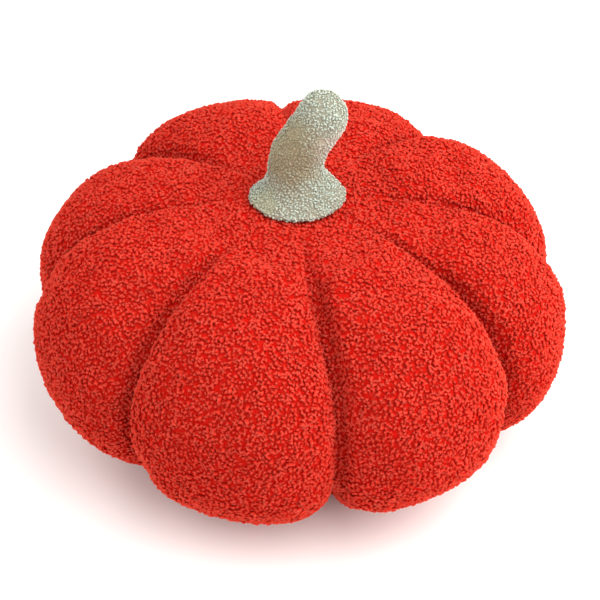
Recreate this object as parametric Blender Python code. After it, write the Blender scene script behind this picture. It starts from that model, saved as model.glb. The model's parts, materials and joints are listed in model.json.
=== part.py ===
"""Pumpkin cushion: a filled fleece cover of eight sewn lobes, with a bent stem sewn on its crown.

Metres, +Z up, front at -Y. The cushion lies on its underside at Z = 0, and its box is centred
on the Z axis. The cover is one filled solid and the stem is another.
"""

import math
from collections import namedtuple

import bmesh
import bpy
from mathutils import Vector

# Driving sizes of the cover
BELT_RADIUS = 0.175
BELT_HEIGHT = 0.0818
CROWN_HEIGHT = 0.1864
CROWN_DIMPLE = 0.0254
CROWN_DIMPLE_RADIUS = 0.103
FLOOR_PRESS = 0.014
UNDER_DIMPLE = 0.024
UNDER_DIMPLE_RADIUS = 0.032
SEAM_DEPTH = 0.019
FLOOR_EASE = 0.004

# Fullness of the round forms: a smaller power is a fuller, boxier curve
SIDE_POWER = 0.885
CROWN_POWER = 0.87
UNDER_POWER = 0.936
SEAM_POWER = 0.9
BULGE_POWER = 3.1
BULGE_ROOT = 0.66

# Where a seam starts to sink in, and where a lobe starts to have its own height, from the axis,
# and how far up from the belt, as the polar angle's cosine, a seam's crown_pull holds alone
SEAM_START = 0.0175
LIFT_START = 0.035
LIFT_FULL = 0.114
CROWN_PULL_FROM = 0.55

# Each lobe, from the seam at its start to the next one's. crown_pull and pull are how hard that
# seam is drawn in on the crown and from the belt down, as shares of SEAM_DEPTH. reach and skirt
# are shares of the radius that the lobe adds at the belt and below it, and lift is what it adds
# to the crown's height.
Lobe = namedtuple("Lobe", "name seam_deg crown_pull pull reach skirt lift")
LOBES = (
    Lobe("front_right", -82.0, 0.88, 0.88, 0.009, -0.023, 0.0060),
    Lobe("right", -37.0, 1.28, 1.28, -0.001, 0.015, -0.0018),
    Lobe("back_right", 1.0, 1.11, 1.11, -0.011, 0.000, 0.0021),
    Lobe("back", 49.7, 1.00, 1.00, 0.016, -0.019, 0.0004),
    Lobe("back_left", 94.9, 0.25, 1.00, -0.003, 0.021, 0.0055),
    Lobe("left", 142.5, 1.17, 1.00, -0.005, 0.000, -0.0050),
    Lobe("front_left", 185.0, 0.88, 0.88, -0.004, -0.038, 0.0021),
    Lobe("front", 231.4, 0.94, 0.94, -0.009, 0.015, 0.0011),
)

# Facets of the cover
STEPS_PER_LOBE = 14
COVER_RINGS = 44
SEAM_CROWDING = 0.45

# The stem, turned about its own axis and then bent towards +X. along is measured on the axis,
# from the seat on the crown, and lean is the axis's slope there.
StemRing = namedtuple("StemRing", "name along radius lean_deg")
STEM_RINGS = (
    StemRing("hem", 0.0045, 0.0304, 0.0),
    StemRing("skirt", 0.0080, 0.0266, -3.0),
    StemRing("flare", 0.0125, 0.0216, -6.0),
    StemRing("neck", 0.0180, 0.0184, -3.0),
    StemRing("lower", 0.0280, 0.0172, 11.0),
    StemRing("middle", 0.0400, 0.0174, 21.0),
    StemRing("upper", 0.0520, 0.0178, 32.0),
    StemRing("shoulder", 0.0605, 0.0170, 42.0),
)
STEM_LENGTH = 0.0785
STEM_DOME_POWER = 2.0
STEM_HEM_RADIUS = 0.0312
STEM_HEM_HEIGHT = 0.0020
FOOT_BACK_TRIM = 0.38
STEM_SEAT_GAP = 0.0004
STEM_SIDES = 32
STEM_STEP = 0.0026
DOME_RINGS = 7
SEAT_RINGS = 5

# Finishes: name, colour, roughness
COVER_FLEECE = ("red_boucle_fleece", (0.62, 0.030, 0.016, 1.0), 0.95)
STEM_FLEECE = ("sage_boucle_fleece", (0.42, 0.40, 0.30, 1.0), 0.95)


def clear_scene():
    for obj in list(bpy.data.objects):
        bpy.data.objects.remove(obj, do_unlink=True)


def fleece(name, colour, roughness):
    """A matt cloth material of one colour."""
    material = bpy.data.materials.new(name)
    material.use_nodes = True
    shader = material.node_tree.nodes["Principled BSDF"]
    shader.inputs["Base Color"].default_value = colour
    shader.inputs["Roughness"].default_value = roughness
    shader.inputs["Metallic"].default_value = 0.0
    material.diffuse_color = colour
    return material


def mesh_object(name, shape, material):
    mesh = bpy.data.meshes.new(name)
    shape.to_mesh(mesh)
    shape.free()
    mesh.materials.append(material)
    mesh.shade_smooth()
    return bpy.data.objects.new(name, mesh)


def smooth_step(value, low, high):
    share = min(1.0, max(0.0, (value - low) / (high - low)))
    return share * share * (3.0 - 2.0 * share)


def dimple(radius, depth, width):
    """How far a dimple of this depth sinks the surface, and nothing at the belt."""
    return depth * (math.exp(-((radius / width) ** 2)) - math.exp(-((BELT_RADIUS / width) ** 2)))


def cover_profile(polar):
    """Radius and height of an average lobe's crest; polar runs from 0 at the crown to pi below."""
    sine, cosine = max(0.0, math.sin(polar)), math.cos(polar)
    radius = BELT_RADIUS * sine**SIDE_POWER
    if cosine > 0.0:
        rise = CROWN_HEIGHT - BELT_HEIGHT
        height = BELT_HEIGHT + rise * cosine**CROWN_POWER
        height -= dimple(radius, CROWN_DIMPLE, CROWN_DIMPLE_RADIUS)
    else:
        drop = BELT_HEIGHT + FLOOR_PRESS
        height = BELT_HEIGHT - drop * (-cosine) ** UNDER_POWER
        height += dimple(radius, UNDER_DIMPLE, UNDER_DIMPLE_RADIUS)
    return Vector((radius, height))


def profile_normal(polar, reach=0.002):
    """The way out of the cover across its crest's profile."""
    low = max(0.0, polar - reach)
    high = min(math.pi, polar + reach)
    run = cover_profile(high) - cover_profile(low)
    return Vector((-run.y, run.x)).normalized()


def rest_on_floor(height):
    """Presses what would sink below Z = 0 flat, with a short ease into the flat."""
    if height > FLOOR_EASE:
        return height
    if height < -FLOOR_EASE:
        return 0.0
    return (height + FLOOR_EASE) ** 2 / (4.0 * FLOOR_EASE)


def cover_point(lobe, after, share, polar):
    """A point of the cover, share of the way across a lobe from its own seam to the next one's."""
    across = 2.0 * share - 1.0
    bulge = max(0.0, 1.0 - abs(across) ** BULGE_POWER) ** BULGE_ROOT
    crest = cover_profile(polar)
    inward = -profile_normal(polar)
    on_crown = smooth_step(math.cos(polar), 0.0, CROWN_PULL_FROM)
    pulls = [seam.pull + (seam.crown_pull - seam.pull) * on_crown for seam in (lobe, after)]
    pull = pulls[0] + (pulls[1] - pulls[0]) * smooth_step(share, 0.0, 1.0)
    depth = SEAM_DEPTH * pull * smooth_step(crest.x, SEAM_START, BELT_RADIUS) ** SEAM_POWER
    upper, lower = max(0.0, math.cos(polar)), max(0.0, -math.cos(polar))
    lift = lobe.lift * smooth_step(crest.x, LIFT_START, LIFT_FULL) * upper
    stretch = lobe.reach + lobe.skirt * lower
    radius = crest.x * (1.0 + bulge * stretch) + inward.x * depth * (1.0 - bulge)
    height = crest.y + bulge * lift + inward.y * depth * (1.0 - bulge)
    width_deg = (after.seam_deg - lobe.seam_deg) % 360.0
    azimuth = math.radians(lobe.seam_deg + width_deg * share)
    return Vector(
        (radius * math.cos(azimuth), radius * math.sin(azimuth), rest_on_floor(height))
    )


def build_cover(material):
    """The filled cover, from a sphere whose meridians become the lobes' seams and crests."""
    shape = bmesh.new()
    bmesh.ops.create_uvsphere(
        shape,
        u_segments=len(LOBES) * STEPS_PER_LOBE,
        v_segments=COVER_RINGS,
        radius=1.0,
    )
    for vertex in shape.verts:
        polar = math.acos(max(-1.0, min(1.0, vertex.co.z)))
        turn = math.atan2(vertex.co.y, vertex.co.x) / math.tau % 1.0 * len(LOBES)
        index = int(turn + 0.5 / STEPS_PER_LOBE) % len(LOBES)
        share = (turn - index + 0.5) % len(LOBES) - 0.5
        crowded = 0.5 - 0.5 * math.cos(math.pi * share)
        share += SEAM_CROWDING * (crowded - share)
        after = LOBES[(index + 1) % len(LOBES)]
        vertex.co = cover_point(LOBES[index], after, share, polar)
    low = [min(v.co[axis] for v in shape.verts) for axis in range(2)]
    high = [max(v.co[axis] for v in shape.verts) for axis in range(2)]
    centring = Vector((-(low[0] + high[0]) / 2.0, -(low[1] + high[1]) / 2.0, 0.0))
    bmesh.ops.translate(shape, verts=shape.verts, vec=centring)
    bmesh.ops.recalc_face_normals(shape, faces=shape.faces)
    return mesh_object("cushion_cover", shape, material), centring


def crown_height(radius):
    """Height of the crown's crest, a given way from the seams' meeting point."""
    polar = math.asin((radius / BELT_RADIUS) ** (1.0 / SIDE_POWER))
    return cover_profile(polar).y


def ring_value(along, column):
    """A column of the stem's table, smoothly between its rows."""
    rows = [(ring.along, getattr(ring, column)) for ring in STEM_RINGS]
    if along <= rows[0][0]:
        return rows[0][1]
    if along >= rows[-1][0]:
        return rows[-1][1]
    index = max(i for i, row in enumerate(rows[:-1]) if row[0] <= along)
    picked = [rows[max(0, min(len(rows) - 1, index + step))] for step in (-1, 0, 1, 2)]
    (x0, y0), (x1, y1), (x2, y2), (x3, y3) = picked
    slope1 = (y2 - y0) / (x2 - x0)
    slope2 = (y3 - y1) / (x3 - x1)
    span = x2 - x1
    t = (along - x1) / span
    return (
        y1 * (2 * t**3 - 3 * t**2 + 1)
        + slope1 * span * (t**3 - 2 * t**2 + t)
        + y2 * (3 * t**2 - 2 * t**3)
        + slope2 * span * (t**3 - t**2)
    )


def stem_profile():
    """The straight stem's profile as (radius, along), from its seat's middle up to its tip."""
    seat = crown_height(0.0)
    points = []
    for step in range(SEAT_RINGS):
        radius = STEM_RINGS[0].radius * step / SEAT_RINGS
        points.append((radius, crown_height(radius) - seat + STEM_SEAT_GAP))
    edge = STEM_RINGS[0].radius
    points.append((edge, crown_height(edge) - seat + STEM_SEAT_GAP))
    points.append((STEM_HEM_RADIUS, STEM_HEM_HEIGHT + crown_height(edge) - seat))
    first, last = STEM_RINGS[0].along, STEM_RINGS[-1].along
    steps = round((last - first) / STEM_STEP)
    for step in range(steps + 1):
        along = first + (last - first) * step / steps
        points.append((ring_value(along, "radius"), along))
    for step in range(1, DOME_RINGS):
        share = math.sin(0.5 * math.pi * step / DOME_RINGS)
        narrowing = (1.0 - share**STEM_DOME_POWER) ** (1.0 / STEM_DOME_POWER)
        along = last + (STEM_LENGTH - last) * share
        points.append((STEM_RINGS[-1].radius * narrowing, along))
    points.append((0.0, STEM_LENGTH))
    return points


def settled(point):
    """Draws the foot's back half in, and lowers it onto the crown there."""
    neck = next(ring for ring in STEM_RINGS if ring.name == "neck")
    foot = 1.0 - smooth_step(point.z, STEM_RINGS[0].along, neck.along)
    moved = point.copy()
    if point.y > 0.0:
        moved.y *= 1.0 - FOOT_BACK_TRIM * foot
    moved.z -= foot * (crown_height(point.xy.length) - crown_height(moved.xy.length))
    return moved


def bent(point, march=0.001):
    """Moves a point of the straight stem onto its bent axis."""
    x, z, along = 0.0, 0.0, 0.0
    while along + march < point.z:
        lean = math.radians(ring_value(along, "lean_deg"))
        x += march * math.sin(lean)
        z += march * math.cos(lean)
        along += march
    lean = math.radians(ring_value(along, "lean_deg"))
    rest = point.z - along
    x += rest * math.sin(lean) + point.x * math.cos(lean)
    z += rest * math.cos(lean) - point.x * math.sin(lean)
    return Vector((x, point.y, z))


def build_stem(material, seat):
    """The filled stem: its profile turned round, then bent, and seated on the crown."""
    shape = bmesh.new()
    points = [shape.verts.new((radius, 0.0, along)) for radius, along in stem_profile()]
    edges = [shape.edges.new(pair) for pair in zip(points, points[1:])]
    bmesh.ops.spin(
        shape,
        geom=points + edges,
        cent=(0.0, 0.0, 0.0),
        axis=(0.0, 0.0, 1.0),
        angle=math.tau,
        steps=STEM_SIDES,
        use_merge=True,
    )
    bmesh.ops.remove_doubles(shape, verts=shape.verts, dist=1e-6)
    for vertex in shape.verts:
        vertex.co = bent(settled(vertex.co))
    bmesh.ops.recalc_face_normals(shape, faces=shape.faces)
    stem = mesh_object("stem", shape, material)
    stem.location = seat
    return stem


def main():
    clear_scene()
    collection = bpy.data.collections.new("pumpkin_cushion")
    bpy.context.scene.collection.children.link(collection)
    base = bpy.data.objects.new("pumpkin_cushion", None)
    cover, centring = build_cover(fleece(*COVER_FLEECE))
    seat = centring + Vector((0.0, 0.0, crown_height(0.0)))
    stem = build_stem(fleece(*STEM_FLEECE), seat)
    for obj in (base, cover, stem):
        collection.objects.link(obj)
    for obj in (cover, stem):
        obj.parent = base


main()
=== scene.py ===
import json
import math

import bmesh
import bpy
import numpy as np
from mathutils import Matrix, Vector

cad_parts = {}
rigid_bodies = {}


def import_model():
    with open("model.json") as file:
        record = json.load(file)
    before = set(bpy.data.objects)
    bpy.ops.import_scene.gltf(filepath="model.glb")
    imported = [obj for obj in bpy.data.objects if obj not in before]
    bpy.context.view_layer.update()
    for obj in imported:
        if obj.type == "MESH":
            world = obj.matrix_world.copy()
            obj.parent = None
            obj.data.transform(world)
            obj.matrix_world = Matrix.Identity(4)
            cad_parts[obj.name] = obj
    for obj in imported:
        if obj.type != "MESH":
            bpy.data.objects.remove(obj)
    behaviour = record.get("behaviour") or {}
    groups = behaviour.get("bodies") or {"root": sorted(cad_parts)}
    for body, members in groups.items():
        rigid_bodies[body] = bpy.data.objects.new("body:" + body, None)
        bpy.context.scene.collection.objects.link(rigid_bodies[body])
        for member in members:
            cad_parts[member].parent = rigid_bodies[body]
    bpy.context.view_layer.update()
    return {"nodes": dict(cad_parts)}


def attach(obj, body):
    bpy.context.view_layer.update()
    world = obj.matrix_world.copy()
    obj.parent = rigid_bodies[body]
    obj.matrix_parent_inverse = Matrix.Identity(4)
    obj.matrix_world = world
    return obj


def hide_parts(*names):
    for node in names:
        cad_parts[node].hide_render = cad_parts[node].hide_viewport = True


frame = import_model()
scene = bpy.context.scene


# camera, floor and light

studio = {
    "elevation": 39.1,  # degrees above the level
    "distance": 0.8892,
    "target": (0.0020, -0.0016, 0.0800),
    "lens": 80.85,
    "sensor": 36.0,
    "floorSize": 6.0,
    "floorColour": (0.95, 0.95, 0.95, 1.0),
    "floorRoughness": 0.9,
    "lampAim": (0.0, 0.0, 0.08),
    "skyColour": (1.0, 0.985, 0.97, 1.0),
    "skyStrength": 0.76,
}

lamps = (
    # name, place, size, watts, colour
    ("windowRight", (0.90, -0.50, 1.22), 1.9, 37.0, (1.0, 0.97, 0.93)),
    ("softLeft", (-1.05, -0.10, 1.10), 1.6, 9.0, (1.0, 0.97, 0.93)),
)


def addCamera():
    tilt = math.radians(studio["elevation"])
    back = Vector((0.0, -math.cos(tilt), math.sin(tilt)))
    up = Vector((0.0, math.sin(tilt), math.cos(tilt)))
    camera = bpy.data.objects.new("camera", bpy.data.cameras.new("camera"))
    camera.data.lens = studio["lens"]
    camera.data.sensor_width = studio["sensor"]
    turn = Matrix((Vector((1.0, 0.0, 0.0)), up, back)).transposed().to_4x4()
    place = Vector(studio["target"]) + back * studio["distance"]
    camera.matrix_world = Matrix.Translation(place) @ turn
    scene.collection.objects.link(camera)
    scene.camera = camera


def addLamps():
    for name, place, size, watts, colour in lamps:
        lamp = bpy.data.lights.new(name, "AREA")
        lamp.shape = "DISK"
        lamp.size = size
        lamp.energy = watts
        lamp.color = colour
        holder = bpy.data.objects.new(name, lamp)
        holder.location = place
        aim = Vector(studio["lampAim"]) - Vector(place)
        holder.rotation_euler = aim.to_track_quat("-Z", "Y").to_euler()
        scene.collection.objects.link(holder)
    world = bpy.data.worlds.new("softSky")
    world.use_nodes = True
    sky = world.node_tree.nodes["Background"]
    sky.inputs["Color"].default_value = studio["skyColour"]
    sky.inputs["Strength"].default_value = studio["skyStrength"]
    scene.world = world


def addFloor():
    half = studio["floorSize"] / 2.0
    mesh = bpy.data.meshes.new("floor")
    corners = [(-half, -half, 0.0), (half, -half, 0.0), (half, half, 0.0), (-half, half, 0.0)]
    mesh.from_pydata(corners, [], [(0, 1, 2, 3)])
    paint = bpy.data.materials.new("palePaper")
    paint.use_nodes = True
    shader = paint.node_tree.nodes["Principled BSDF"]
    shader.inputs["Base Color"].default_value = studio["floorColour"]
    shader.inputs["Roughness"].default_value = studio["floorRoughness"]
    mesh.materials.append(paint)
    floor = bpy.data.objects.new("floor", mesh)
    scene.collection.objects.link(floor)


addCamera()
addLamps()
addFloor()
scene.view_settings.view_transform = "Standard"
for leftover in ("Cube", "Light", "Camera"):  # from Blender's own opening scene
    if leftover in bpy.data.objects:
        bpy.data.objects.remove(bpy.data.objects[leftover], do_unlink=True)
print("studio ready")


# finishes

def newGroup(name, kind, inputs, outputs):
    # a node tree with named sockets, and the nodes that stand for them inside it
    tree = bpy.data.node_groups.new(name, kind)
    for label, socket, value in inputs:
        made = tree.interface.new_socket(label, in_out="INPUT", socket_type=socket)
        if value is not None:
            made.default_value = value
    for label, socket in outputs:
        tree.interface.new_socket(label, in_out="OUTPUT", socket_type=socket)
    return tree, tree.nodes.new("NodeGroupInput"), tree.nodes.new("NodeGroupOutput")


def addNode(tree, kind, settings=None, **values):
    # values go by the input's name, or as _0, _1 and so on by its place
    node = tree.nodes.new(kind)
    for name, value in (settings or {}).items():
        setattr(node, name, value)
    for name, value in values.items():
        node.inputs[int(name[1:]) if name[0] == "_" else name].default_value = value
    return node


def mixColours(tree, factor, first, second):
    mix = addNode(tree, "ShaderNodeMix", {"data_type": "RGBA"})
    for socket, value in ((0, factor), (6, first), (7, second)):  # the colour version's sockets
        if isinstance(value, bpy.types.NodeSocket):
            tree.links.new(value, mix.inputs[socket])
        else:
            mix.inputs[socket].default_value = value
    return mix.outputs[2]


def ramp(tree, value, start, end, smooth=True, low=0.0, high=1.0):
    # from low to high while the value goes from start to end
    node = addNode(tree, "ShaderNodeMapRange")
    node.interpolation_type = "SMOOTHSTEP" if smooth else "LINEAR"
    for label, number in (
        ("From Min", start),
        ("From Max", end),
        ("To Min", low),
        ("To Max", high),
    ):
        node.inputs[label].default_value = number
    tree.links.new(value, node.inputs["Value"])
    return node.outputs["Result"]


pileTones = {
    "bodyBelow": 0.65,  # the root's painted shade gives way to the body's colour up to this height on a curl
    # the tip's painted highlight starts above this height on a curl
    "tipAbove": 0.5,
    "patchEdge": (0.35, 0.65),
    "patchDetail": 3.0,
    "fibreDetail": 4.0,
    "fibreRoughness": 0.65,
    "brightness": (0.93, 1.07),  # of the dullest curl and the brightest
}


def fleeceColourGroup():
    # the pile's colour: painted shade deeper at the roots, a painted highlight paler at the
    # tips, uneven from curl to curl
    tree, given, result = newGroup(
        "fleeceColour",
        "ShaderNodeTree",
        (
            ("RootShade", "NodeSocketColor", (0.2, 0.01, 0.01, 1.0)),
            ("Body", "NodeSocketColor", (0.6, 0.03, 0.02, 1.0)),
            ("TipHighlight", "NodeSocketColor", (0.8, 0.06, 0.04, 1.0)),
            ("Patches", "NodeSocketColor", (0.6, 0.03, 0.02, 1.0)),
            ("Patch Share", "NodeSocketFloat", 0.3),
            ("Patch Size", "NodeSocketFloat", 30.0),
            ("Height", "NodeSocketFloat", 0.5),
        ),
        (("Color", "NodeSocketColor"),),
    )
    link = tree.links.new
    tone = addNode(tree, "ShaderNodeAttribute", {"attribute_name": "tone"})
    body = ramp(tree, given.outputs["Height"], 0.0, pileTones["bodyBelow"])
    tip = ramp(tree, given.outputs["Height"], pileTones["tipAbove"], 1.0)
    # painted shade low on each curl, painted highlight at its top
    base = mixColours(tree, body, given.outputs["RootShade"], given.outputs["Body"])
    base = mixColours(tree, tip, base, given.outputs["TipHighlight"])
    place = addNode(tree, "ShaderNodeTexCoord")
    noise = addNode(tree, "ShaderNodeTexNoise", None, Detail=pileTones["patchDetail"])
    link(place.outputs["Object"], noise.inputs["Vector"])
    link(given.outputs["Patch Size"], noise.inputs["Scale"])
    patch = ramp(tree, noise.outputs["Fac"], *pileTones["patchEdge"])
    share = addNode(tree, "ShaderNodeMath", {"operation": "MULTIPLY"})
    link(patch, share.inputs[0])
    link(given.outputs["Patch Share"], share.inputs[1])
    base = mixColours(tree, share.outputs[0], base, given.outputs["Patches"])
    bright = ramp(tree, tone.outputs["Fac"], 0.0, 1.0, False, *pileTones["brightness"])
    toned = addNode(tree, "ShaderNodeVectorMath", {"operation": "SCALE"})
    link(base, toned.inputs[0])
    link(bright, toned.inputs["Scale"])
    link(toned.outputs[0], result.inputs["Color"])
    return tree


def fibreBumpGroup():
    # the fine threads on a curl
    tree, given, result = newGroup(
        "fibreBump",
        "ShaderNodeTree",
        (
            ("Scale", "NodeSocketFloat", 1500.0),
            ("Strength", "NodeSocketFloat", 0.4),
            ("Distance", "NodeSocketFloat", 0.0004),
            ("Normal", "NodeSocketVector", None),
        ),
        (("Normal", "NodeSocketVector"),),
    )
    link = tree.links.new
    place = addNode(tree, "ShaderNodeTexCoord")
    noise = addNode(
        tree,
        "ShaderNodeTexNoise",
        None,
        Detail=pileTones["fibreDetail"],
        Roughness=pileTones["fibreRoughness"],
    )
    link(place.outputs["Object"], noise.inputs["Vector"])
    link(given.outputs["Scale"], noise.inputs["Scale"])
    bump = addNode(tree, "ShaderNodeBump")
    link(noise.outputs["Fac"], bump.inputs["Height"])
    link(given.outputs["Strength"], bump.inputs["Strength"])
    link(given.outputs["Distance"], bump.inputs["Distance"])
    link(given.outputs["Normal"], bump.inputs["Normal"])
    link(bump.outputs["Normal"], result.inputs["Normal"])
    return tree


def softNormalGroup():
    # the curls scatter light among themselves, so each is lit partly like the cloth below it
    tree, given, result = newGroup(
        "softNormal",
        "ShaderNodeTree",
        (("Soften", "NodeSocketFloat", 0.5),),
        (("Normal", "NodeSocketVector"),),
    )
    link = tree.links.new
    own = addNode(tree, "ShaderNodeNewGeometry")
    below = addNode(tree, "ShaderNodeAttribute", {"attribute_name": "clothNormal"})
    mix = addNode(tree, "ShaderNodeMix", {"data_type": "VECTOR"})
    link(given.outputs["Soften"], mix.inputs[0])
    link(own.outputs["Normal"], mix.inputs[4])
    link(below.outputs["Vector"], mix.inputs[5])
    unit = addNode(tree, "ShaderNodeVectorMath", {"operation": "NORMALIZE"})
    link(mix.outputs[1], unit.inputs[0])
    link(unit.outputs[0], result.inputs["Normal"])
    return tree


lowerPile = {
    "driftScale": 500.0,
    "merge": 0.3,  # how far neighbouring curls run together
    "dome": (0.62, 0.10),  # from a curl's foot to its top
}


def lowerCurlsGroup():
    # the short curls deep in the pile: rounded cells, bent out of their rows
    tree, given, result = newGroup(
        "lowerCurls",
        "ShaderNodeTree",
        (
            ("Scale", "NodeSocketFloat", 400.0),
            ("Warp", "NodeSocketFloat", 0.001),
            ("Relief", "NodeSocketFloat", 0.001),
        ),
        (("Height", "NodeSocketFloat"), ("Normal", "NodeSocketVector")),
    )
    link = tree.links.new
    place = addNode(tree, "ShaderNodeTexCoord")
    drift = addNode(
        tree, "ShaderNodeTexNoise", None, Scale=lowerPile["driftScale"], Detail=1.0
    )
    link(place.outputs["Object"], drift.inputs["Vector"])
    centred = addNode(
        tree, "ShaderNodeVectorMath", {"operation": "SUBTRACT"}, _1=(0.5, 0.5, 0.5)
    )
    link(drift.outputs["Color"], centred.inputs[0])
    shift = addNode(tree, "ShaderNodeVectorMath", {"operation": "SCALE"})
    link(centred.outputs[0], shift.inputs[0])
    link(given.outputs["Warp"], shift.inputs["Scale"])
    moved = addNode(tree, "ShaderNodeVectorMath", {"operation": "ADD"})
    link(place.outputs["Object"], moved.inputs[0])
    link(shift.outputs[0], moved.inputs[1])
    cells = addNode(
        tree, "ShaderNodeTexVoronoi", {"feature": "SMOOTH_F1"}, Smoothness=lowerPile["merge"]
    )
    link(moved.outputs[0], cells.inputs["Vector"])
    link(given.outputs["Scale"], cells.inputs["Scale"])
    dome = ramp(tree, cells.outputs["Distance"], *lowerPile["dome"])
    bump = addNode(tree, "ShaderNodeBump")
    link(dome, bump.inputs["Height"])
    link(given.outputs["Relief"], bump.inputs["Distance"])
    link(dome, result.inputs["Height"])
    link(bump.outputs["Normal"], result.inputs["Normal"])
    return tree


zoneEdge = {
    "driftScale": 120.0,
    "unevenness": 0.8,
    "fade": (1.5, 0.7),  # from nothing to full, as shares of the reach
}


def zoneMaskGroup():
    # one soft round patch in space, uneven at its edge
    tree, given, result = newGroup(
        "zoneMask",
        "ShaderNodeTree",
        (
            ("Middle", "NodeSocketVector", None),
            ("Reach", "NodeSocketFloat", 0.02),
            ("Share", "NodeSocketFloat", 0.5),
        ),
        (("Mask", "NodeSocketFloat"),),
    )
    link = tree.links.new
    place = addNode(tree, "ShaderNodeTexCoord")
    drift = addNode(tree, "ShaderNodeTexNoise", None, Scale=zoneEdge["driftScale"], Detail=2.0)
    link(place.outputs["Object"], drift.inputs["Vector"])
    gap = addNode(tree, "ShaderNodeVectorMath", {"operation": "DISTANCE"})
    link(place.outputs["Object"], gap.inputs[0])
    link(given.outputs["Middle"], gap.inputs[1])
    share = addNode(tree, "ShaderNodeMath", {"operation": "DIVIDE"})
    link(gap.outputs["Value"], share.inputs[0])
    link(given.outputs["Reach"], share.inputs[1])
    uneven = addNode(
        tree, "ShaderNodeMath", {"operation": "MULTIPLY_ADD"}, _1=zoneEdge["unevenness"]
    )
    link(drift.outputs["Fac"], uneven.inputs[0])
    link(share.outputs[0], uneven.inputs[2])
    mask = ramp(tree, uneven.outputs[0], *zoneEdge["fade"])
    part = addNode(tree, "ShaderNodeMath", {"operation": "MULTIPLY"})
    link(mask, part.inputs[0])
    link(given.outputs["Share"], part.inputs[1])
    link(part.outputs[0], result.inputs["Mask"])
    return tree


def fleece(name, look, groups, underPile=False):
    # the finish of the curls, or of the cloth and short curls under them, with painted shade
    # low in the pile and painted highlights on the curls' tops
    material = bpy.data.materials.new(name)
    material.use_nodes = True
    tree = material.node_tree
    link = tree.links.new
    shader = tree.nodes["Principled BSDF"]
    colour = addNode(tree, "ShaderNodeGroup", {"node_tree": groups["colour"]})
    for label in ("RootShade", "Body", "TipHighlight", "Patches"):
        colour.inputs[label].default_value = look[label]
    # under the pile the root's colour is the darker under colour, painted shade
    if underPile:
        colour.inputs["RootShade"].default_value = look["UnderShade"]
    colour.inputs["Patch Share"].default_value = look["patchShare"]
    colour.inputs["Patch Size"].default_value = look["patchSize"]
    bump = addNode(tree, "ShaderNodeGroup", {"node_tree": groups["fibres"]})
    bump.inputs["Scale"].default_value = look["fibreScale"]
    bump.inputs["Strength"].default_value = look["fibreStrength"]
    if underPile:
        curls = addNode(tree, "ShaderNodeGroup", {"node_tree": groups["lowerCurls"]})
        curls.inputs["Scale"].default_value = look["lowerScale"]
        curls.inputs["Warp"].default_value = look["lowerWarp"]
        curls.inputs["Relief"].default_value = look["lowerRelief"]
        # the short curls' height also sets their colour: painted shade at their edges, paler
        # tops
        height = addNode(
            tree, "ShaderNodeMath", {"operation": "MULTIPLY"}, _1=look["lowerHeight"]
        )
        link(curls.outputs["Height"], height.inputs[0])
        link(height.outputs[0], colour.inputs["Height"])
        link(curls.outputs["Normal"], bump.inputs["Normal"])
    else:
        # each curl's height on itself sets its colour: painted shade low down, painted
        # highlight on top
        rise = addNode(tree, "ShaderNodeAttribute", {"attribute_name": "rise"})
        link(rise.outputs["Fac"], colour.inputs["Height"])
        soft = addNode(tree, "ShaderNodeGroup", {"node_tree": groups["softNormal"]})
        soft.inputs["Soften"].default_value = look["soften"]
        link(soft.outputs["Normal"], bump.inputs["Normal"])
    colourWithPaintedLight = colour.outputs["Color"]
    # zones paint patches over the colour; on the stem one of them is a painted highlight
    for middle, reach, tint, share in look.get("zones", ()):
        zone = addNode(tree, "ShaderNodeGroup", {"node_tree": groups["zone"]})
        zone.inputs["Middle"].default_value = middle
        zone.inputs["Reach"].default_value = reach
        zone.inputs["Share"].default_value = share
        colourWithPaintedLight = mixColours(tree, zone.outputs["Mask"], colourWithPaintedLight, tint)
    link(colourWithPaintedLight, shader.inputs["Base Color"])
    link(bump.outputs["Normal"], shader.inputs["Normal"])
    for label, value in (
        ("Roughness", look["roughness"]),
        ("Specular IOR Level", look["specular"]),
        ("Subsurface Weight", look["glow"]),
        ("Subsurface Radius", look["glowReach"]),
        ("Subsurface Scale", look["glowScale"]),
        ("Sheen Weight", 0.0 if underPile else look["sheen"]),
        ("Sheen Roughness", look["sheenRoughness"]),
        ("Sheen Tint", look["sheenTint"]),
    ):
        shader.inputs[label].default_value = value
    return material


redFleece = {
    # the root colour is painted shade deep in the pile, darker and more saturated; the tip
    # colour is a painted highlight, paler
    "RootShade": (0.62, 0.006, 0.004, 1.0),
    "Body": (0.63, 0.021, 0.012, 1.0),
    "TipHighlight": (0.58, 0.066, 0.044, 1.0),
    # the cloth's red under the pile, darkened as painted shade
    "UnderShade": (0.52, 0.008, 0.005, 1.0),
    "Patches": (0.46, 0.014, 0.008, 1.0),
    "patchShare": 0.30,
    "patchSize": 90.0,
    "fibreScale": 1800.0,
    "fibreStrength": 0.45,
    "soften": 0.6,  # how far a curl is lit like the cloth it stands on
    "lowerScale": 420.0,
    "lowerWarp": 0.0016,
    "lowerRelief": 0.0010,
    "lowerHeight": 0.75,
    "roughness": 0.92,
    "specular": 0.0,
    "glow": 0.5,  # light that soaks through the threads
    "glowReach": (1.0, 0.12, 0.08),
    "glowScale": 0.003,
    "sheen": 0.10,
    "sheenRoughness": 0.45,
    "sheenTint": (1.0, 0.10, 0.05, 1.0),
}
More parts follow.
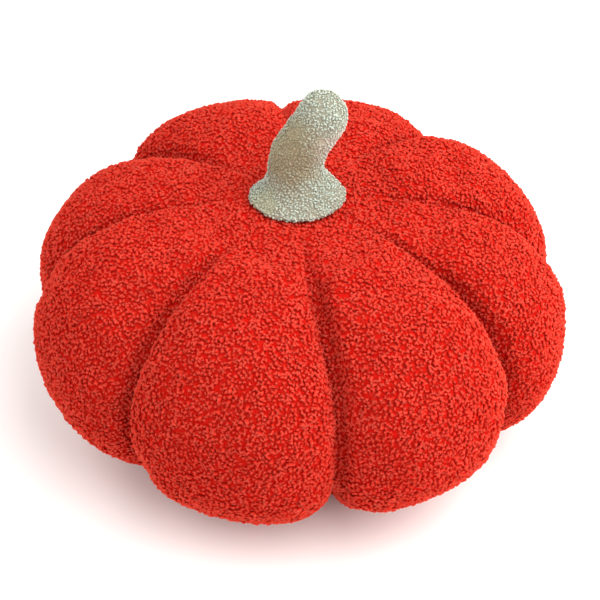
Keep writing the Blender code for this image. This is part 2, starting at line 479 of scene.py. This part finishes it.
sageFleece = {
    # the root colour is painted shade deep in the pile, darker; the tip colour is a painted
    # highlight, paler
    "RootShade": (0.33, 0.34, 0.26, 1.0),
    "Body": (0.45, 0.505, 0.43, 1.0),
    "TipHighlight": (0.54, 0.62, 0.55, 1.0),
    # the cloth's sage under the pile, darkened as painted shade
    "UnderShade": (0.26, 0.26, 0.20, 1.0),
    "Patches": (0.46, 0.37, 0.27, 1.0),
    "patchShare": 0.20,
    "patchSize": 60.0,
    "fibreScale": 1800.0,
    "fibreStrength": 0.45,
    "soften": 0.0,
    "lowerScale": 420.0,
    "lowerWarp": 0.0016,
    "lowerRelief": 0.0010,
    "lowerHeight": 0.75,
    "roughness": 0.92,
    "specular": 0.0,
    "glow": 0.2,
    "glowReach": (1.0, 0.9, 0.7),
    "glowScale": 0.0010,
    "sheen": 0.10,
    "sheenRoughness": 0.45,
    "sheenTint": (1.0, 0.98, 0.92, 1.0),
    "zones": (
        # middle, reach, colour, share: uneven patches on the stem, the pale one a painted
        # highlight
        # a darker tan patch high on the left
        ((-0.010, -0.020, 0.205), 0.033, (0.34, 0.28, 0.165, 1.0), 0.85),
        # a pale patch high on the right, painted highlight on the side toward the lamp
        ((0.024, -0.010, 0.205), 0.018, (0.68, 0.60, 0.53, 1.0), 0.50),
        # an olive patch lower on the left
        ((-0.024, -0.020, 0.176), 0.018, (0.40, 0.40, 0.26, 1.0), 0.65),
    ),
}
groups = {
    "colour": fleeceColourGroup(),
    "fibres": fibreBumpGroup(),
    "softNormal": softNormalGroup(),
    "lowerCurls": lowerCurlsGroup(),
    "zone": zoneMaskGroup(),
}
redMaterial = fleece("redCurlyFleece", redFleece, groups)
sageMaterial = fleece("sageCurlyFleece", sageFleece, groups)
redCloth = fleece("redClothUnderPile", redFleece, groups, underPile=True)
sageCloth = fleece("sageClothUnderPile", sageFleece, groups, underPile=True)
print("finishes ready")


# the cloth bodies that the pile stands on

cushionLook = {
    "middle": (0.00039, -0.00156),  # where the seams meet, seen from above
    "seams": (
        # lobe that starts here, degrees, pull, width before and after the seam
        ("front_right", -82.0, 0.0080, 0.0024, 0.0068),
        ("right", -37.0, 0.0070, 0.0032, 0.0045),
        ("back_right", 1.0, 0.0070, 0.0045, 0.0032),
        ("back", 49.7, 0.0060, 0.0036, 0.0036),
        ("back_left", 94.9, 0.0030, 0.0036, 0.0036),
        ("left", 142.5, 0.0060, 0.0036, 0.0036),
        ("front_left", 185.0, 0.0070, 0.0032, 0.0045),
        ("front", 231.4, 0.0075, 0.0055, 0.0026),
    ),
    "pile": 0.0015,  # the cloth lies this far inside the tips of its curls
    "stitchFrom": 0.038,  # from the middle, where the stitching starts to draw in
    "stitchOver": 0.075,
    "stitchLow": 0.02,  # below this height it fades out again
    # the lobe at this angle is drawn in, over these degrees, by this much, below this height
    "tuck": (-60.0, 26.0, 0.004, 0.050),
    "tuckFrom": (0.08, 0.04),  # none nearer the middle than this, full this much further out
    # this seam wanders by these degrees near the crown, over these degrees either side
    "drift": (-82.0, -4.0, 14.0),
    "driftTo": (0.14, 0.07),  # none further from the middle, full this much nearer
    "slack": 0.0024,  # how much smaller the cover starts than it ends up
    "fullness": 0.045,  # spare cloth in each gore, which the fill takes up
    "pressure": 4.0,  # of the fill
    "stretch": 12.0,  # how hard the cloth is to stretch
    "fold": 0.3,  # and to bend
    "clothMass": 0.002,
    "quality": 5,  # of the simulation, in steps for each frame
    "steps": 20,
    "mostMove": 0.005,  # no point of the cover is pushed out further
    "sewnWithin": 0.006,  # of a seam, where the stitches hold the cloth
    "sewnHold": 1.6,  # over 1, so the hold is full for some way beside the seam
    "crownHeld": (0.055, 0.015),  # the stem's foot holds the crown this far out, and fades in
    "baseHeld": (0.014, 0.008),  # the floor holds the underside up to this height, and fades in
    "smoothing": 1,
    "pressedBelow": 0.004,  # the underside, flat on the floor, has a thinner pile
    "pressedPile": 0.45,
    "fill": 0.85,
}
stemLook = {
    "pile": 0.0009,
    "smoothing": 1,
    "slantFrom": 0.200,  # above this the left shoulder is drawn in, so the tip slants
    "slantOver": 0.020,
    "slantTo": 0.012,
    "slant": 0.28,
    "fill": 0.8,
}


def clothBody(name, node, look):
    # a solid's own mesh, merged into even quads and drawn in by the depth of the pile
    mesh = frame["nodes"][node].data.copy()
    shape = bmesh.new()
    shape.from_mesh(mesh)
    bmesh.ops.remove_doubles(shape, verts=shape.verts, dist=1e-6)
    alike = 0.9  # radians by which two triangles may differ and still make one quad
    bmesh.ops.join_triangles(
        shape, faces=shape.faces, angle_face_threshold=alike, angle_shape_threshold=alike
    )
    bmesh.ops.recalc_face_normals(shape, faces=shape.faces)
    shape.normal_update()
    moves = [vertex.normal * look["pile"] for vertex in shape.verts]
    for vertex, move in zip(shape.verts, moves):
        vertex.co -= move
    mesh = bpy.data.meshes.new(name)
    shape.to_mesh(mesh)
    shape.free()
    body = bpy.data.objects.new(name, mesh)
    scene.collection.objects.link(body)
    return body


def smoothed(body, look):
    smooth = body.modifiers.new("smoothing", "SUBSURF")
    smooth.levels = smooth.render_levels = look["smoothing"]
    return plainMesh(body)


def plainMesh(thing):
    # swaps the object's mesh for what its modifiers give
    graph = bpy.context.evaluated_depsgraph_get()
    made = bpy.data.meshes.new_from_object(thing.evaluated_get(graph), depsgraph=graph)
    thing.modifiers.clear()
    thing.data = made
    return made


def pointArray(mesh, what="co"):
    spots = np.zeros(len(mesh.vertices) * 3, np.float32)
    mesh.vertices.foreach_get(what, spots)
    return spots.reshape(-1, 3)


def placePoints(mesh, spots):
    mesh.vertices.foreach_set("co", spots.astype(np.float32).ravel())
    mesh.update()


def degreesPast(turn, start):
    # from -180 to 180
    return (turn - start + 180.0) % 360.0 - 180.0


def slantTip(mesh, look):
    spots = pointArray(mesh)
    share = np.clip((spots[:, 2] - look["slantFrom"]) / look["slantOver"], 0.0, 1.0)
    spots[:, 0] += look["slant"] * share * np.maximum(look["slantTo"] - spots[:, 0], 0.0)
    placePoints(mesh, spots)


def roundMiddle(spots, look):
    # each point's distance from the middle, and its angle round it in degrees
    across = spots[:, :2] - np.array(look["middle"])
    radius = np.hypot(across[:, 0], across[:, 1])
    return radius, np.degrees(np.arctan2(across[:, 1], across[:, 0]))


def besideSeams(spots, look):
    # each point's distance from the middle, and how far it lies to either side of each seam
    radius, turn = roundMiddle(spots, look)
    seams = np.array([row[1] for row in look["seams"]])
    return radius, np.radians(degreesPast(turn[:, None], seams)) * radius[:, None]


def stuff(body, look):
    # the fill presses the cover out between its seams, where the stitches hold it
    mesh = body.data
    start = pointArray(mesh)
    radius, away = besideSeams(start, look)
    held = look["sewnHold"] - np.abs(away).min(axis=1) / look["sewnWithin"]
    for (edge, over), place in ((look["crownHeld"], radius), (look["baseHeld"], start[:, 2])):
        held = np.maximum(held, (edge - place) / over)
    held = np.clip(held, 0.0, 1.0)
    slack = (look["slack"] * (1.0 - held))[:, None].astype(np.float32)
    start -= pointArray(mesh, "normal") * slack
    placePoints(mesh, start)
    sewn = body.vertex_groups.new(name="sewn")
    for index, share in enumerate(held):
        if share > 0.0:
            sewn.add([index], float(share), "REPLACE")
    cloth = body.modifiers.new("filling", "CLOTH")
    cloth.settings.quality = look["quality"]
    cloth.settings.mass = look["clothMass"]
    cloth.settings.shrink_min = -look["fullness"]
    cloth.settings.tension_stiffness = cloth.settings.compression_stiffness = look["stretch"]
    cloth.settings.shear_stiffness = look["stretch"] / 2.0
    cloth.settings.bending_stiffness = look["fold"]
    cloth.settings.vertex_group_mass = sewn.name
    cloth.settings.use_pressure = True
    cloth.settings.uniform_pressure_force = look["pressure"]
    cloth.settings.effector_weights.gravity = 0.0
    cloth.collision_settings.use_collision = False
    cloth.point_cache.frame_start = 1
    cloth.point_cache.frame_end = look["steps"]
    for step in range(1, look["steps"] + 1):
        scene.frame_set(step)
    filled = plainMesh(body)
    move = pointArray(filled) - start
    size = np.linalg.norm(move, axis=1)
    print(f"filled out by {size.mean() * 1000.0:.2f} mm, at most {size.max() * 1000.0:.2f} mm")
    most = look["mostMove"]
    move *= (most * np.tanh(size / most) / np.maximum(size, 1e-9))[:, None]
    placePoints(filled, start + move)
    body.vertex_groups.clear()
    scene.frame_set(1)


def drawInSeams(mesh, look):
    # the stitching pulls the cloth in along each seam, deeper than the curls can fill
    spots = pointArray(mesh)
    radius, away = besideSeams(spots, look)
    pull = np.zeros(len(spots))
    for seam, (_, _, depth, before, after) in enumerate(look["seams"]):
        width = np.where(away[:, seam] < 0.0, before, after)
        pull = np.maximum(pull, depth * np.exp(-((away[:, seam] / width) ** 2)))
    fade = np.clip((radius - look["stitchFrom"]) / look["stitchOver"], 0.0, 1.0)
    fade *= np.clip(spots[:, 2] / look["stitchLow"], 0.0, 1.0)
    spots -= pointArray(mesh, "normal") * (pull * fade)[:, None]
    placePoints(mesh, spots)


def driftSeam(mesh, look):
    # the front seam starts further left near the crown, and the lobe right of it tucks in below
    spots = pointArray(mesh)
    radius, turn = roundMiddle(spots, look)
    seam, wander, width = look["drift"]
    edge, over = look["driftTo"]
    share = np.exp(-((degreesPast(turn, seam) / width) ** 2))
    share *= np.clip((edge - radius) / over, 0.0, 1.0)
    angle = np.radians(turn + wander * share)
    place, reach, depth, below = look["tuck"]
    edge, over = look["tuckFrom"]
    low = np.clip(1.0 - spots[:, 2] / below, 0.0, 1.0)
    low = low * np.clip((radius - edge) / over, 0.0, 1.0)
    radius -= depth * low * np.exp(-((degreesPast(turn, place) / reach) ** 2))
    spots[:, 0] = look["middle"][0] + radius * np.cos(angle)
    spots[:, 1] = look["middle"][1] + radius * np.sin(angle)
    placePoints(mesh, spots)


def markLobes(mesh, look):
    # numbers each face by the lobe that it lies in
    centres = np.zeros(len(mesh.polygons) * 3, np.float32)
    mesh.polygons.foreach_get("center", centres)
    centres = centres.reshape(-1, 3)
    _, turn = roundMiddle(centres, look)
    starts = [row[1] for row in look["seams"]]
    lobe = np.zeros(len(turn), np.int32)
    for index, start in enumerate(starts):
        width = (starts[(index + 1) % len(starts)] - start) % 360.0
        lobe[(turn - start) % 360.0 < width] = index
    mesh.attributes.new("lobe", "INT", "FACE").data.foreach_set("value", lobe)
    pressed = centres[:, 2] < look["pressedBelow"]
    share = np.where(pressed, look["pressedPile"], 1.0).astype(np.float32)
    mesh.attributes.new("pileShare", "FLOAT", "FACE").data.foreach_set("value", share)


cushion = clothBody("cushion", "cushion_cover", cushionLook)
stuff(cushion, cushionLook)
cushionMesh = smoothed(cushion, cushionLook)
drawInSeams(cushionMesh, cushionLook)
markLobes(cushionMesh, cushionLook)
driftSeam(cushionMesh, cushionLook)
stem = clothBody("stemTube", "stem", stemLook)
stemMesh = smoothed(stem, stemLook)
slantTip(stemMesh, stemLook)
stemMesh.attributes.new("lobe", "INT", "FACE")
stemShare = stemMesh.attributes.new("pileShare", "FLOAT", "FACE")
stemShare.data.foreach_set("value", np.ones(len(stemMesh.polygons), np.float32))
for body, material in ((cushion, redCloth), (stem, sageCloth)):
    body.data.materials.clear()
    body.data.materials.append(material)
    body.data.shade_smooth()
print("cloth bodies ready:", len(cushionMesh.polygons), "and", len(stemMesh.polygons), "faces")


# the curls of the pile

curlLook = {
    "kinds": 20,
    "bend": (0.00050, 0.00115),  # radius of the curl's loop
    "sweep": (130.0, 290.0),  # degrees of the loop
    "thread": (0.00085, 0.00125),  # radius of the thread
    "flatness": 0.56,
    # share of the way along it, share of its thickness
    "steps": ((0.0, 0.0), (0.12, 0.9), (0.5, 1.0), (0.88, 0.9), (1.0, 0.0)),
    "sides": 3,
    "lean": 0.4,  # how far the loop may open out to one end
    "centring": 0.3,  # of the loop's radius, so the curl lies about its own middle
    "arch": (0.15, 0.7),  # the part of a half wave that the thread rises and falls by
    "rootDepth": 0.3,  # of the thread, counted as the root's painted shade below its lowest point
    "rootHeight": (-0.0003, 0.0002),
    "rise": (0.0002, 0.0009),
    "lowest": 0.0003,  # pressed flat where the cushion rests
    "seed": 11,
}
coverPile = {
    "spacing": 0.00184,
    "most": 600000.0,  # curls on a square metre, before the spacing thins them
    "small": 1.05,
    "large": 1.65,
    "tilt": 0.3,
    "seed": 3,
}
stemPile = {
    "spacing": 0.00135,
    "most": 600000.0,
    "small": 0.62,
    "large": 0.98,
    "tilt": 0.3,
    "seed": 5,
}


def curlShape(index, random):
    # one bent thread, pointed at both ends, lying on z = 0
    look = curlLook
    bend = random.uniform(*look["bend"])
    sweep = math.radians(random.uniform(*look["sweep"]))
    thread = random.uniform(*look["thread"])
    root = random.uniform(*look["rootHeight"])
    rise = random.uniform(*look["rise"])
    way = 1.0 if random.random() < 0.5 else -1.0
    lean = random.uniform(-look["lean"], look["lean"])
    archFrom, archOver = look["arch"]
    middles = []
    for share, _ in look["steps"]:
        angle = sweep * (share - 0.5)
        reach = bend * (1.0 + lean * (share - 0.5))
        height = root + (rise - root) * math.sin(math.pi * (archFrom + archOver * share))
        ahead = reach * math.cos(angle) - look["centring"] * bend
        middles.append(Vector((ahead, way * reach * math.sin(angle), height)))
    shape = bmesh.new()
    rows = []
    for step, (middle, (_, thick)) in enumerate(zip(middles, look["steps"])):
        if thick == 0.0:
            rows.append([shape.verts.new(middle)])
            continue
        along = (middles[step + 1] - middles[step - 1]).normalized()
        side = along.cross(Vector((0.0, 0.0, 1.0))).normalized()
        above = side.cross(along)
        ring = []
        for corner in range(look["sides"]):
            turn = math.tau * corner / look["sides"] + math.pi / 2.0
            out = math.cos(turn) * side + look["flatness"] * math.sin(turn) * above
            ring.append(shape.verts.new(middle + thread * thick * out))
        rows.append(ring)
    for row, following in zip(rows, rows[1:]):
        for corner in range(look["sides"]):
            around = [
                row[corner % len(row)],
                row[(corner + 1) % len(row)],
                following[(corner + 1) % len(following)],
                following[corner % len(following)],
            ]
            shape.faces.new(list(dict.fromkeys(around)))
    bmesh.ops.recalc_face_normals(shape, faces=shape.faces)
    # each point's height on the curl, kept as rise, which the finish paints as shade low down
    # and highlight at the top
    low, high = root - look["rootDepth"] * thread, rise + look["flatness"] * thread
    heights = [min(1.0, max(0.0, (v.co.z - low) / (high - low))) for v in shape.verts]
    mesh = bpy.data.meshes.new(f"curlKind{index}")
    shape.to_mesh(mesh)
    shape.free()
    mesh.attributes.new("rise", "FLOAT", "POINT").data.foreach_set("value", heights)
    mesh.shade_smooth()
    return bpy.data.objects.new(f"curlKind{index}", mesh)


def curlCollection():
    random = np.random.default_rng(curlLook["seed"])
    kinds = bpy.data.collections.new("curlKinds")
    for index in range(curlLook["kinds"]):
        kinds.objects.link(curlShape(index, random))
    return kinds


def scatterTree():
    # curls stood on one lobe of a cloth body, turned and tilted at random
    tree, given, result = newGroup(
        "curlScatter",
        "GeometryNodeTree",
        (
            ("Geometry", "NodeSocketGeometry", None),
            ("Curls", "NodeSocketCollection", None),
            ("Finish", "NodeSocketMaterial", None),
            ("Lobe", "NodeSocketInt", 0),
            ("Spacing", "NodeSocketFloat", 0.003),
            ("Most", "NodeSocketFloat", 120000.0),
            ("Smallest", "NodeSocketFloat", 0.8),
            ("Largest", "NodeSocketFloat", 1.2),
            ("Tilt", "NodeSocketFloat", 0.4),
            ("Seed", "NodeSocketInt", 1),
        ),
        (("Geometry", "NodeSocketGeometry"),),
    )
    tree.is_modifier = True
    link = tree.links.new
    number = addNode(tree, "GeometryNodeInputNamedAttribute", {"data_type": "INT"}, Name="lobe")
    same = addNode(tree, "FunctionNodeCompare", {"data_type": "INT", "operation": "EQUAL"})
    link(number.outputs["Attribute"], same.inputs[2])
    link(given.outputs["Lobe"], same.inputs[3])
    spread = addNode(
        tree, "GeometryNodeDistributePointsOnFaces", {"distribute_method": "POISSON"}
    )
    link(given.outputs["Geometry"], spread.inputs["Mesh"])
    link(same.outputs[0], spread.inputs["Selection"])
    link(given.outputs["Spacing"], spread.inputs["Distance Min"])
    link(given.outputs["Most"], spread.inputs["Density Max"])
    thin = addNode(
        tree, "GeometryNodeInputNamedAttribute", {"data_type": "FLOAT"}, Name="pileShare"
    )
    link(thin.outputs["Attribute"], spread.inputs["Density Factor"])
    link(given.outputs["Seed"], spread.inputs["Seed"])
    kinds = addNode(tree, "GeometryNodeCollectionInfo")
    for label in ("Separate Children", "Reset Children"):
        kinds.inputs[label].default_value = True
    link(given.outputs["Curls"], kinds.inputs["Collection"])
    size = addNode(tree, "FunctionNodeRandomValue", {"data_type": "FLOAT"})
    link(given.outputs["Smallest"], size.inputs[2])
    link(given.outputs["Largest"], size.inputs[3])
    link(given.outputs["Seed"], size.inputs["Seed"])
    pick = addNode(
        tree, "FunctionNodeRandomValue", {"data_type": "INT"}, _4=0, _5=curlLook["kinds"] - 1
    )
    link(given.outputs["Seed"], pick.inputs["Seed"])
    facing = addNode(
        tree,
        "GeometryNodeStoreNamedAttribute",
        {"data_type": "FLOAT_VECTOR", "domain": "POINT"},
        Name="clothNormal",
    )
    link(spread.outputs["Points"], facing.inputs["Geometry"])
    link(spread.outputs["Normal"], facing.inputs["Value"])
    place = addNode(tree, "GeometryNodeInstanceOnPoints")
    place.inputs["Pick Instance"].default_value = True
    link(facing.outputs["Geometry"], place.inputs["Points"])
    link(spread.outputs["Rotation"], place.inputs["Rotation"])
    link(kinds.outputs["Instances"], place.inputs["Instance"])
    link(pick.outputs[2], place.inputs["Instance Index"])
    link(size.outputs[1], place.inputs["Scale"])
    lowTurn = addNode(tree, "ShaderNodeCombineXYZ")
    highTurn = addNode(tree, "ShaderNodeCombineXYZ", None, Z=math.tau)
    negative = addNode(tree, "ShaderNodeMath", {"operation": "MULTIPLY"}, _1=-1.0)
    link(given.outputs["Tilt"], negative.inputs[0])
    for axis in ("X", "Y"):
        link(negative.outputs[0], lowTurn.inputs[axis])
        link(given.outputs["Tilt"], highTurn.inputs[axis])
    spin = addNode(tree, "FunctionNodeRandomValue", {"data_type": "FLOAT_VECTOR"})
    link(lowTurn.outputs[0], spin.inputs[0])
    link(highTurn.outputs[0], spin.inputs[1])
    link(given.outputs["Seed"], spin.inputs["Seed"])
    turned = addNode(tree, "GeometryNodeRotateInstances")
    turned.inputs["Local Space"].default_value = True
    link(place.outputs["Instances"], turned.inputs["Instances"])
    link(spin.outputs[0], turned.inputs["Rotation"])
    tone = addNode(tree, "FunctionNodeRandomValue", {"data_type": "FLOAT"}, _2=0.0, _3=1.0)
    keep = addNode(
        tree,
        "GeometryNodeStoreNamedAttribute",
        {"data_type": "FLOAT", "domain": "INSTANCE"},
        Name="tone",
    )
    link(turned.outputs["Instances"], keep.inputs["Geometry"])
    link(tone.outputs[1], keep.inputs["Value"])
    real = addNode(tree, "GeometryNodeRealizeInstances")
    finish = addNode(tree, "GeometryNodeSetMaterial")
    link(keep.outputs["Geometry"], real.inputs["Geometry"])
    link(real.outputs["Geometry"], finish.inputs["Geometry"])
    link(given.outputs["Finish"], finish.inputs["Material"])
    link(finish.outputs["Geometry"], result.inputs["Geometry"])
    return tree


def socketKeys(tree):
    # the identifiers by which a modifier knows the tree's inputs
    return {
        item.name: item.identifier
        for item in tree.interface.items_tree
        if item.item_type == "SOCKET" and item.in_out == "INPUT"
    }


def growCurls(name, body, tree, kinds, material, lobe, pile):
    carrier = bpy.data.objects.new(name, body.data.copy())
    scene.collection.objects.link(carrier)
    scatter = carrier.modifiers.new("curls", "NODES")
    scatter.node_group = tree
    keys = socketKeys(tree)
    for label, value in (
        ("Curls", kinds),
        ("Finish", material),
        ("Lobe", lobe),
        ("Spacing", pile["spacing"]),
        ("Most", pile["most"]),
        ("Smallest", pile["small"]),
        ("Largest", pile["large"]),
        ("Tilt", pile["tilt"]),
        ("Seed", pile["seed"] + lobe),
    ):
        scatter[keys[label]] = value
    mesh = plainMesh(carrier)
    spots = pointArray(mesh)
    spots[:, 2] = np.maximum(spots[:, 2], curlLook["lowest"])
    placePoints(mesh, spots)
    return carrier


curlKinds = curlCollection()
curlTree = scatterTree()
pieces = []
for lobe, (lobeName, *_) in enumerate(cushionLook["seams"]):
    curls = growCurls(
        f"curls_{lobeName}", cushion, curlTree, curlKinds, redMaterial, lobe, coverPile
    )
    pieces.append((curls, "cover_fleece"))
stemCurls = growCurls("curls_stem", stem, curlTree, curlKinds, sageMaterial, 0, stemPile)
pieces.append((stemCurls, "stem_fleece"))
for thing in list(curlKinds.objects):
    bpy.data.objects.remove(thing, do_unlink=True)
bpy.data.collections.remove(curlKinds)
for curls, _ in pieces:
    print(curls.name, sum(len(face.vertices) - 2 for face in curls.data.polygons), "triangles")


# what moves with what

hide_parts("cushion_cover")
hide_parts("stem")
for piece, slot in pieces + [(cushion, "cover_fleece"), (stem, "stem_fleece")]:
    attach(piece, "root")

print("all pieces ride on the cushion's one body")
